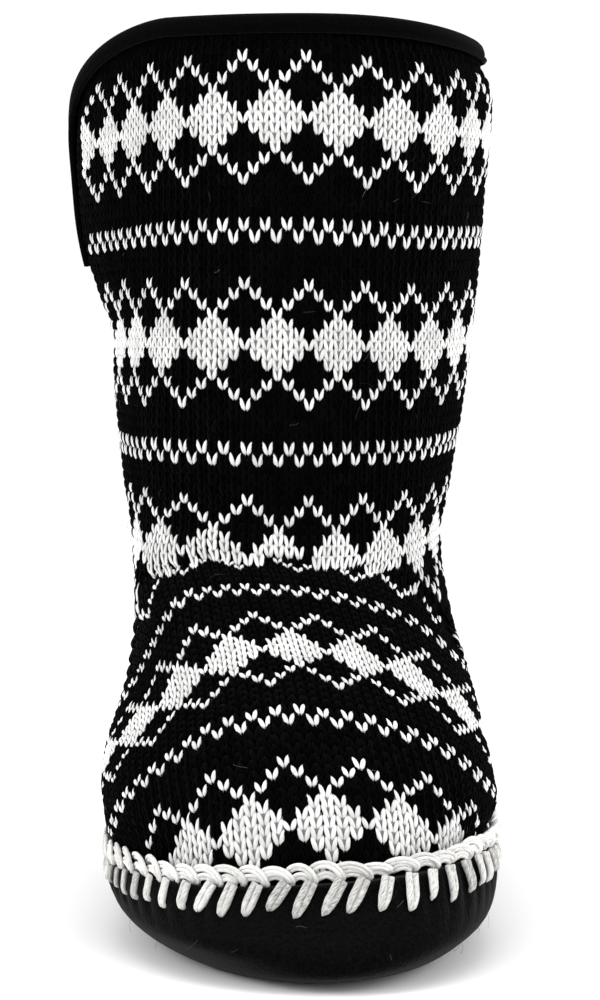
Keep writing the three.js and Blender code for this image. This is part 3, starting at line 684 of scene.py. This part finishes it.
def upper_wall():
    """Wall under the stitches, a closed shell: up the outside just below the stitches' crest, over the edge
    and down the inside one wall thickness in, at every angle up to the ring's top edge."""
    columns, outside, inside = 180, 110, 50
    rows = outside + inside
    angles = np.arange(columns) * 360 / columns
    tall = ring_top(angles) - SEAT
    outer = cloth(angles, SEAT + tall * np.linspace(0, 1, outside)[:, None], -STITCH_DEPTH, flap=False)
    inner = cloth(angles, SEAT + tall * np.linspace(1, 0, inside)[:, None], -WALL, flap=False)
    kind = np.repeat(np.arange(rows) >= outside - 1, columns)
    wall = piece("upper_wall", np.concatenate([outer, inner]).reshape(-1, 3),
                 lattice(rows, columns, closed_rows=True, closed_columns=True),
                 materials=[BACKING, FLEECE], kind=kind)
    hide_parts("upper")


def flap_wall():
    """Wall of the free flap: rows from its foot to the collar, each running from the root to the free edge
    on the outside and back on the lined inside. Its root and its foot are sunk into the shaft."""
    straight, corner, steps, sink, foot_tall = 24, 40, 50, 0.5, 8.5
    z = np.concatenate([np.linspace(FLAP_LOW, CORNER_LEVEL, straight)[:-1],
                        CORNER_LEVEL + CORNER_TALL * np.sin(np.linspace(0, np.pi / 2, corner))])[:, None]
    angle = FLAP_ROOT + (flap_edge(z) - FLAP_ROOT) * np.linspace(0, 1, steps)
    past_root, past_foot = smooth(FLAP_ROOT, FLAP_LIFT, angle), smooth(FLAP_LOW, FLAP_LOW + foot_tall, z)
    sunk = sink * (1 - past_root) + sink * (1 - past_foot)
    n = normal(UPPER, angle, z + 0 * angle, True)
    outer, inner = (surface(UPPER, angle, z) + n * (flap_lift(angle, z) - sunk - depth)[..., None]
                    for depth in (STITCH_DEPTH, FLAP_WALL))
    points = np.concatenate([outer, inner[:, ::-1]], axis=1)
    rows, columns = points.shape[:2]
    i = np.arange(steps - 1)
    cap = np.stack([i, i + 1, columns - 2 - i, columns - 1 - i], axis=1)
    quads = np.vstack([lattice(rows, columns, closed_columns=True), cap[:, ::-1], cap + (rows - 1) * columns])
    kind = np.concatenate([np.tile(np.arange(columns) >= steps, rows - 1), np.zeros(2 * len(cap))])
    piece("flap_wall", points.reshape(-1, 3), quads, materials=[BACKING, FLEECE], kind=kind)


# Bound edge: angles between which the ring is bound, angles of its straight stretch along the flap's top,
# and the height where it ends on the free edge. Then how far the binding's middle line lies inside the
# knit's face on the ring and along the flap, and the angles over which the one goes over to the other.
BOUND_RING, BOUND_TOP, BOUND_LOW = (77.14, 385.7), (29, 37.5), 187
RING_INSIDE, FLAP_INSIDE, INSIDE_ANGLES = 2.45, 2.1, (25.7, 38)
# Binding's section, across the edge and beyond it: a leg from its lower edge up over the sewn groove, the
# crest's half-width, base, rise and angles, and the slot that takes the knit's edge.
TAPE_LEG = np.array([
    [2.2, -4.6], [2.95, -4.5], [3.4, -4], [2.6, -3.3], [2.95, -2.7], [3.12, -2], [3.08, -1.1],
])
CREST_HALF, CREST_BASE, CREST_RISE, CREST_ARC = 3.05, -0.9, 2.5, np.radians(np.linspace(20, 160, 9))
TAPE_SLOT = np.array([[-1.75, -4.5], [-1.75, 0.3], [1.75, 0.3], [1.75, -4.5]])


def bound_edge():
    """Middle line of the bound edge and the cloth's normal along it: round the ring's top from under the
    flap, on over the flap's round corner and down its free edge."""
    ring_steps, top_steps, corner_steps, side_steps = 320, 8, 44, 16
    ring = np.linspace(*BOUND_RING, ring_steps)
    ring_z = ring_top(ring)
    turn = np.linspace(np.pi / 2, 0, corner_steps)
    z = np.concatenate([np.full(top_steps, COLLAR), CORNER_LEVEL + CORNER_TALL * np.sin(turn),
                        np.linspace(CORNER_LEVEL, BOUND_LOW, side_steps)[1:]])
    angle = np.concatenate([np.linspace(*BOUND_TOP, top_steps), flap_edge(z[top_steps:])])
    inside = np.interp(angle, INSIDE_ANGLES, [RING_INSIDE, FLAP_INSIDE])

    def face(turned, high, distance=0.0):
        """Point of the flap's face, moved out by a distance."""
        out = flap_lift(turned, high) + distance
        return surface(UPPER, turned, high) + normal(UPPER, turned, high, True) * out[..., None]

    ring_points = surface(UPPER, ring, ring_z) - RING_INSIDE * normal(UPPER, ring, ring_z, True)
    across = np.cross(face(angle, z) - face(angle, z - 1), face(angle, z) - face(angle - 1, z))
    points = np.concatenate([ring_points, face(angle, z, -inside)])
    return points, np.concatenate([normal(UPPER, ring, ring_z), unit(across)])


def binding():
    """Folded tape along the bound edge: a soft U section with a round crest, a slightly puffed leg on each
    side and a shallow sewn groove near the legs' lower edges, closed at both ends."""
    points, across = bound_edge()
    tangent = unit(np.gradient(points, axis=0))
    across = unit(across - tangent * np.sum(across * tangent, axis=1, keepdims=True))
    beyond = np.cross(tangent, across)
    crest = np.column_stack([CREST_HALF * np.cos(CREST_ARC), CREST_BASE + CREST_RISE * np.sin(CREST_ARC)])
    section = np.vstack([TAPE_LEG, crest, TAPE_LEG[::-1] * [-1, 1], TAPE_SLOT])
    tape = points[:, None] + section[:, :1] * across[:, None] + section[:, 1:] * beyond[:, None]
    rows, columns = tape.shape[:2]
    last, end = columns - len(TAPE_SLOT) - 1, (rows - 1) * columns
    tip = last // 2
    half = np.arange(tip - 1)
    cap = np.vstack([
        np.stack([half, half + 1, last - 1 - half, last - half], axis=1),
        [[0, last, last + 1, last + 4], [last + 1, last + 2, last + 3, last + 4]]])
    crown = np.array([[tip - 1, tip, tip + 1]])
    quads = np.vstack([lattice(rows, columns, closed_columns=True), cap[:, ::-1], cap + end])
    tris = np.vstack([crown[:, ::-1], crown + end])
    tape = piece("binding", tape.reshape(-1, 3), quads, tris, [VELOUR])
    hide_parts("collar_binding")


# Edge seam: length along the sole's rim by angle, from the front middle, read at a height on its wall, and
# the even step of the chain's links and the whip stitches, near a usual link's length.
RIM_LEVEL, LINK_LONG = 24.0, 6.8
TURN = np.linspace(0, 360, 1441)
RIM = arc(surface(SOLE, TURN, np.full(len(TURN), RIM_LEVEL)))
LINKS = int(round(RIM[-1] / LINK_LONG))
SEAM_STEP = RIM[-1] / LINKS
# Underside: rise of the arch, where it starts and its length along the foot, toe spring and the way over
# which it rises, and the heights over which both fade out.
ARCH_RISE, ARCH_START, ARCH_LONG, TOE_SPRING, TOE_SPAN, TREAD_FADE = 2, -16, 74, 1.6, (76, 116), (0, 12)
# Puckers of the sole's wall: middle, width and height of its fullness, then how far the stitches draw it
# in, with the middle and width of that.
PUCKER_FULL, PUCKER_PULL, PUCKER_PLACE = (20, 6, 0.25), 0.7, (22, 6)
# Cup: height of its side above the round lower edge, its clearance from the upper, levels of its inner
# wall, and shares of the width at which the floor and the tread have rings.
SIDE_TALL, CUP_GAP, CUP_LEVELS = 14, 0.6, np.array([SEAT + 0.1, 14, 20, SOLE_RIM])
FLOOR_RINGS, TREAD_RINGS = (0.02, 0.5, 1), (0.9, 0.75, 0.55, 0.3, 0.02)


def rim_angle(along):
    """Angle of the place a length along the rim, going on round past the front."""
    return np.interp(np.mod(along, RIM[-1]), RIM, TURN)


def tread_rise(y, z):
    """Toe spring and arch of the underside, fading out up the side wall."""
    arch = ARCH_RISE * np.sin(np.pi * np.clip((y - ARCH_START) / ARCH_LONG, 0, 1)) ** 2
    return (TOE_SPRING * smooth(*TOE_SPAN, -y) + arch) * (1 - smooth(*TREAD_FADE, z))


def sole_skin(angle, z, distance=0.0):
    """Outside of the cup sole with soft puckers: drawn in at each whip stitch, full between them."""
    point = surface(SOLE, angle, z)
    phase = np.interp(np.mod(angle, 360), TURN, RIM) / SEAM_STEP
    pull = (0.5 + 0.5 * np.cos(2 * np.pi * phase)) ** 2
    depth = bell(z, *PUCKER_FULL) - PUCKER_PULL * pull * bell(z, *PUCKER_PLACE)
    moved = point + normal(SOLE, angle, z, True) * (depth + distance)[..., None]
    moved[..., 2] = tilted(angle, z) + tread_rise(point[..., 1], z)
    return moved


def sole():
    """Cup sole: its floor and inner wall clear of the upper, the rim, the puckered outside and the tread.
    The outside goes down in even steps and then round the lower edge in ever smaller ones."""
    count, side_steps, edge_steps = 450, 20, 13
    angles = np.arange(count) * 360 / count
    side = SOLE_RIM - np.linspace(0, 1, side_steps) * SIDE_TALL
    edge = (SOLE_RIM - SIDE_TALL) * (1 - np.sin(np.linspace(0, 1, edge_steps) * np.pi / 2))
    z = np.concatenate([side, edge[1:]])
    outside = sole_skin(angles, np.repeat(z[:, None], count, axis=1))
    inner = tilted(angles, CUP_LEVELS[:, None] + 0 * angles)
    wall = surface(UPPER, angles, inner) + CUP_GAP * normal(UPPER, angles, inner, True)
    floor = np.stack([wall[0] * [k, k, 0] + [0, 0, SOLE_FLOOR] for k in FLOOR_RINGS])
    tread = np.stack([outside[-1] * [k, k, 0] for k in TREAD_RINGS])
    tread[..., 2] = tread_rise(tread[..., 1], np.zeros(tread.shape[:2]))
    rings = np.concatenate([floor, wall, outside, tread])
    rows = len(rings)
    points = np.vstack([rings.reshape(-1, 3), rings[0].mean(axis=0), rings[-1].mean(axis=0)])
    ring, last = np.arange(count), (rows - 1) * count
    first = np.stack([np.full(count, rows * count), (ring + 1) % count, ring], axis=1)
    end = np.stack([np.full(count, rows * count + 1), last + ring, last + (ring + 1) % count], axis=1)
    quads, tris = lattice(rows, count, closed_columns=True), np.vstack([first, end])
    cup = piece("sole_cup", points, quads, tris, [NAP])
    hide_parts("sole")


# Sides of a yarn's tube. Its fibres' turn for each mm, their length for their width, and the step from the
# grain of one strand to that of the next.
YARN_SIDES, FIBRE_TURN, FIBRE_LONG, FIBRE_STEP = 7, 0.5, 7, 9.7


def tubes(paths, radius, towards, sides):
    """Round strands along many paths at once, (count, steps, 3): sections stand square to each path, turned
    by the direction towards. Returns points, quads, tris and, for the fibres, each point's turn round the
    yarn and its length along it."""
    count, steps = paths.shape[:2]
    tangent = unit(np.gradient(paths, axis=1))
    side = unit(np.cross(tangent, towards))
    out = np.cross(side, tangent)
    along = np.linalg.norm(np.diff(paths, axis=1), axis=2).cumsum(axis=1)
    along = np.concatenate([np.zeros((count, 1)), along], axis=1)[..., None]
    turn = 2 * np.pi * np.arange(sides) / sides
    ring = paths[:, :, None] + np.broadcast_to(radius, (count, steps))[..., None, None] * (
        np.cos(turn)[:, None] * side[:, :, None] + np.sin(turn)[:, None] * out[:, :, None])
    size = steps * sides
    shift = (np.arange(count) * size)[:, None, None]
    quads = (lattice(steps, sides, closed_columns=True)[None] + shift).reshape(-1, 4)
    fan = np.stack([np.zeros(sides - 2, int), np.arange(1, sides - 1), np.arange(2, sides)], axis=1)
    tris = (np.vstack([fan[:, ::-1], fan + size - sides])[None] + shift).reshape(-1, 3)
    around = np.mod(turn + np.pi / 2, 2 * np.pi) + FIBRE_TURN * along
    length = along / FIBRE_LONG + FIBRE_STEP * np.arange(count)[:, None, None]
    fibre = np.stack(np.broadcast_arrays(around, length), axis=-1)
    return ring.reshape(-1, 3), quads[:, ::-1], tris[:, ::-1], fibre.reshape(-1, 2)


# Strands of one link of the chain: place along the strand, then right, up and out in mm. The upper strand
# climbs from under the link before, arches over and dives into the knot. The lower one runs below it.
UPPER_STRAND = np.array([
    [0, -5.2, -0.4, -1], [1, -3.3, 1.2, 0.1], [2, -0.8, 1.7, 0.7], [3, 1.7, 0.9, 1], [4, 3.4, -0.7, 1.3],
    [5, 3.9, -2.2, 0.9], [6, 2.9, -2.9, -0.5],
])
LOWER_STRAND = np.array([
    [0, -4.2, -2.3, -0.8], [1, -2.5, -1.3, 0.3], [2, -0.3, -0.7, 0.7], [3, 1.8, -1.4, 0.7],
    [4, 3.3, -2.4, 0.1],
])
# Chain: its distance from the upper and its height over the seam, radius of a ply and half the way between
# two, and a ply's thickness along it. Then the spread of the links' places, widths, heights and levels and
# of the plies' turn, and the range of the tones.
CHAIN_OFF, CHAIN_RAISE, PLY_RADIUS, PLY_APART = 2.4, 0.4, 0.54, 0.47
PLY_THICK = [0, 0.1, 0.7, 0.9, 1], [0.7, 1, 1.1, 1.6, 1]
LINK_PLACE, LINK_WIDE, LINK_TALL, LINK_LEVEL, PLY_TURN, CHAIN_TONES = 0.3, 0.14, 0.2, 0.2, 0.14, (0.9, 1.4)
# How much flatter the inner side's links are, by angle, the angles over which the boot's front goes over to
# its sides, and how much further out the chain lies there.
FLAT_ANGLES, FLAT_SHARES, FLANK_SPAN, FLANK_OFF = [-45, -25], [0.75, 1], (50, 80), 1.5


def crochet_chain():
    """Crochet chain: along the rim a row of links, each of two slanting strands that end in a knot at the
    link's lower right and lie over the start of the next link, each strand of two plies side by side. No
    two links are quite alike, and the inner side's are flatter."""
    steps, paths = 17, []
    start = np.arange(LINKS)[:, None] * SEAM_STEP + RNG.normal(0, LINK_PLACE, (LINKS, 1))
    turned = wrapped(rim_angle(start))
    flat = np.interp(turned, FLAT_ANGLES, FLAT_SHARES)
    flank = FLANK_OFF * smooth(*FLANK_SPAN, np.abs(turned))
    for strand in (UPPER_STRAND, LOWER_STRAND):
        x, up, out = through(strand, np.linspace(0, strand[-1, 0], steps)).T
        wide, tall = RNG.normal(1, [[[LINK_WIDE]], [[LINK_TALL]]], (2, LINKS, 1))
        angle = rim_angle(start - x * wide)
        face = normal(UPPER, angle, CHAIN_LEVEL + 0 * angle, True)
        rim = surface(UPPER, angle, seam(angle)) + (CHAIN_OFF + flank + out)[..., None] * face
        rim[..., 2] += CHAIN_RAISE + up * tall * flat + RNG.normal(0, LINK_LEVEL, (LINKS, 1))
        ply = PLY_APART * unit(np.cross(np.gradient(rim, axis=1), face))
        ply = ply + RNG.normal(0, PLY_TURN, (LINKS, 1, 1)) * face
        paths += [rim + ply, rim - ply]
    towards = np.tile(normal(UPPER, turned, CHAIN_LEVEL + 0 * turned, True), (len(paths), steps, 1))
    radius = PLY_RADIUS * np.interp(np.linspace(0, 1, steps), *PLY_THICK)
    points, quads, tris, fibre = tubes(np.concatenate(paths), radius, towards, YARN_SIDES)
    tone = np.repeat(RNG.uniform(*CHAIN_TONES, len(paths) * LINKS), steps * YARN_SIDES)
    chain = piece("crochet_chain", points, quads, tris, [CHAIN_YARN], tone=tone, uv=fibre)
    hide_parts("edge_chain")


# Lean of the whip stitches: how far their lower end lies round towards the outer side, in mm, by angle.
LEAN_ANGLES = [-60, -35, -18, -9, -3, 10, 23, 30, 37, 50, 65, 80, 180, 280, 300]
LEANS = [0, 0.8, 1.6, 2.9, 4.8, 5, 4.5, 4.2, 3, 1, 0, -0.6, 0.5, 0.5, 0]
# Heights of their ends, how much lower the upper end is at the sides, the share of the way down where they
# cross their own place on the rim, and their shift along it.
WHIP_HIGH, WHIP_LOW, WHIP_DROP, WHIP_PIVOT, WHIP_SHIFT = 27.6, 19.6, 2.6, 0.35, 1.2
# How far they stand off the sole: at the start, more in the middle, less where they dive in, and the share
# of that which they lose at the sides.
WHIP_OFF, WHIP_BOW, WHIP_DIVE, WHIP_FLANK = 0.3, 1.1, 0.9, 0.5
# Their strands: radius and distance from the middle across and outwards, turn round each other, thickness
# and spread down the stitch, and how much slimmer they are away from the front.
STRAND_RADIUS, STRAND_ACROSS, STRAND_OUT, STRAND_TURN = 0.96, 0.9, 0.6, 0.5
STRAND_THICK = [0, 0.1, 0.65, 0.88, 1], [0.85, 1, 1, 0.74, 0.25]
STRAND_SPREAD = [0, 0.55, 0.85, 1], [0.9, 1, 0.6, 0.15]
SLIM_ANGLES, SLIM_SHARES = [25, 60], [1, 0.74]
# Spread of the places, leans and lower ends, middle and spread of their turn, range of their tones: lower
# # than the chain's, so that the same yarn is greyer here as painted shade.
WHIP_PLACE, WHIP_LEAN, WHIP_END, WHIP_TURN, WHIP_SHADED_TONES = 0.35, 0.5, 0.6, (0.1, 0.3), (0.64, 0.92)


def whip_stitches():
    """Whip stitches: from under the chain out over the sole's wall and down into it, leaning at the front,
    each of two strands laid side by side that turn a little round each other."""
    steps, seat_span = 14, (6, 26)
    t = np.linspace(0, 1, steps)
    along = np.arange(LINKS) * SEAM_STEP + RNG.normal(0, WHIP_PLACE, LINKS)
    turned = rim_angle(along)
    lean = np.interp(np.where(turned > LEAN_ANGLES[-1], turned - 360, turned), LEAN_ANGLES, LEANS)
    lean = (lean + RNG.normal(0, WHIP_LEAN, LINKS))[:, None]
    angle = rim_angle(along[:, None] + lean * (t - WHIP_PIVOT) - WHIP_SHIFT)
    climb = seam(turned) - rim_shift(turned) - CHAIN_LEVEL
    from_front = np.abs(wrapped(turned))
    flank = smooth(*FLANK_SPAN, from_front)[:, None]
    slim = np.interp(from_front, SLIM_ANGLES, SLIM_SHARES)[:, None]
    low = (WHIP_LOW + climb + RNG.normal(0, WHIP_END, LINKS))[:, None]
    high = WHIP_HIGH + climb[:, None] - WHIP_DROP * flank
    z = high + (low - high) * t
    # A flattened half wave without its steep ends, and the dive at the lower end.
    off = WHIP_OFF + WHIP_BOW * np.sin(np.pi * (0.1 + 0.8 * t)) ** 0.6 - WHIP_DIVE * smooth(0.8, 1, t)
    middle = sole_skin(angle, z, off * (1 - WHIP_FLANK * flank))
    out = normal(SOLE, angle, np.clip(z, *seat_span), True)
    across = unit(np.cross(np.gradient(middle, axis=1), out))
    start = RNG.normal(*WHIP_TURN, (LINKS, 1))
    strands = []
    for side in (0, np.pi):
        phase = side + start + STRAND_TURN * (t - 0.5)
        spread = STRAND_ACROSS * slim * np.interp(t, *STRAND_SPREAD)
        strands.append(middle + (spread * np.cos(phase))[..., None] * across
                       + (STRAND_OUT * np.sin(phase))[..., None] * out)
    radius = np.tile(STRAND_RADIUS * slim * np.interp(t, *STRAND_THICK), (2, 1))
    towards = np.concatenate([out, out])
    points, quads, tris, fibre = tubes(np.concatenate(strands), radius, towards, YARN_SIDES)
    # A tone for each stitch, darker than the chain's: painted shade.
    tone = np.tile(np.repeat(RNG.uniform(*WHIP_SHADED_TONES, LINKS), steps * YARN_SIDES), 2)
    piece("whip_stitches", points, quads, tris, [CHAIN_YARN], tone=tone, uv=fibre)


# Loose fibres: share of them on the sole, heights between which they lie there and on the knit, thickness,
# range of lengths and of lifts, spread of their bend, and the power that keeps most of them dark.
LINT_ON_SOLE, LINT_SOLE, LINT_KNIT, LINT_RADIUS = 0.2, (6, 22), (34, 236), 0.035
LINT_LONG, LINT_LIFT, LINT_BEND, LINT_DARK = (1.5, 4.5), (0.05, 0.25), 0.5, 6


def lint(count):
    """Loose fibres on the knit and the sole: thin hairs that start on the cloth and curl off it."""
    steps, sides, curl = 6, 3, 2.6
    t = np.linspace(0, 1, steps)[:, None]
    angle = RNG.uniform(-180, 180, count)
    on_sole = RNG.random((count, 1)) < LINT_ON_SOLE
    sole_z, knit_z = RNG.uniform(*LINT_SOLE, count), RNG.uniform(*LINT_KNIT, count)
    base = np.where(on_sole, sole_skin(angle, sole_z), cloth(angle, knit_z))
    out = np.where(on_sole, normal(SOLE, angle, sole_z, True), normal(UPPER, angle, knit_z))
    side = unit(np.cross([0, 0, 1], out))
    up = np.cross(out, side)
    way = RNG.uniform(0, 2 * np.pi, (count, 1))
    run = np.cos(way) * side + np.sin(way) * up
    bend = np.cross(out, run) * RNG.normal(0, LINT_BEND, (count, 1))
    length = RNG.uniform(*LINT_LONG, (count, 1, 1))
    lift = RNG.uniform(*LINT_LIFT, (count, 1, 1))
    curve = run[:, None] * t + bend[:, None] * t ** 2 + out[:, None] * lift * np.sin(curl * t)
    towards = np.repeat(out[:, None], steps, axis=1)
    points, quads, tris, _ = tubes(base[:, None] + length * curve, LINT_RADIUS, towards, sides)
    tone = np.repeat(RNG.random(count) ** LINT_DARK, steps * sides)
    piece("lint", points, quads, tris, [LINT], tone=tone)


upper_wall()
flap_wall()
binding()
sole()
crochet_chain()
whip_stitches()
knit_pieces()
lint(400)
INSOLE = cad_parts["insole"]
INSOLE.data.materials.clear()
INSOLE.data.materials.append(FLEECE)


def area_light(name, place, aim, size, power):
    """Soft square lamp at a place in metres, turned to its aim."""
    lamp = bpy.data.lights.new(name, "AREA")
    lamp.size, lamp.energy = size, power
    obj = bpy.data.objects.new(name, lamp)
    obj.location = place
    way = np.array(aim) - np.array(place)
    flat = np.hypot(way[0], way[1])
    obj.rotation_euler = (np.arctan2(flat, -way[2]), 0, np.arctan2(-way[0], way[1]))
    bpy.context.scene.collection.objects.link(obj)


# Studio: white surroundings, a large soft lamp at each side of the boot and one above it, a pale floor.
area_light("left lamp", place=(-1.2, -0.4, 0.7), aim=(0, 0, 0.1), size=0.9, power=9)
area_light("right lamp", place=(1.2, -0.4, 0.6), aim=(0, 0, 0.1), size=0.9, power=9)
area_light("top lamp", place=(0, 0.1, 1.4), aim=(0, 0, 0), size=0.9, power=4)
WORLD = bpy.data.worlds.new("white studio")
WORLD.use_nodes = True
SKY = WORLD.node_tree.nodes["Background"]
SKY.inputs["Color"].default_value, SKY.inputs["Strength"].default_value = linear("#ffffff"), 1.06
bpy.context.scene.world = WORLD
bpy.context.scene.view_settings.view_transform = "Standard"

# Floor paper: matt, nearly white, so that only the boot's soft shadow shows on it.
PAPER = bpy.data.materials.new("white floor paper")
PAPER.use_nodes = True
PAPER_SHADER = PAPER.node_tree.nodes["Principled BSDF"]
PAPER_SHADER.inputs["Base Color"].default_value = linear("#fafafa")
PAPER_SHADER.inputs["Roughness"].default_value = 0.9
FLOOR_HALF = 9
FLOOR_DATA = bpy.data.meshes.new("floor")
FLOOR_CORNERS = [(x * FLOOR_HALF, y * FLOOR_HALF, 0) for x, y in ((-1, -1), (1, -1), (1, 1), (-1, 1))]
FLOOR_DATA.from_pydata(FLOOR_CORNERS, [], [(0, 1, 2, 3)])
FLOOR_DATA.materials.append(PAPER)
FLOOR = bpy.data.objects.new("floor", FLOOR_DATA)
bpy.context.scene.collection.objects.link(FLOOR)

# Camera: straight before the toe, a little above the ankle, tipped down by a few degrees.
CAMERA_TIP = 3.33
CAMERA_DATA = bpy.data.cameras.new("camera")
CAMERA_DATA.lens, CAMERA_DATA.sensor_width = 103.9, 36
CAMERA = bpy.data.objects.new("camera", CAMERA_DATA)
CAMERA.location = (0.00626, -0.8366, 0.166)
CAMERA.rotation_euler = (np.radians(90 - CAMERA_TIP), 0, 0)
bpy.context.scene.collection.objects.link(CAMERA)
bpy.context.scene.camera = CAMERA
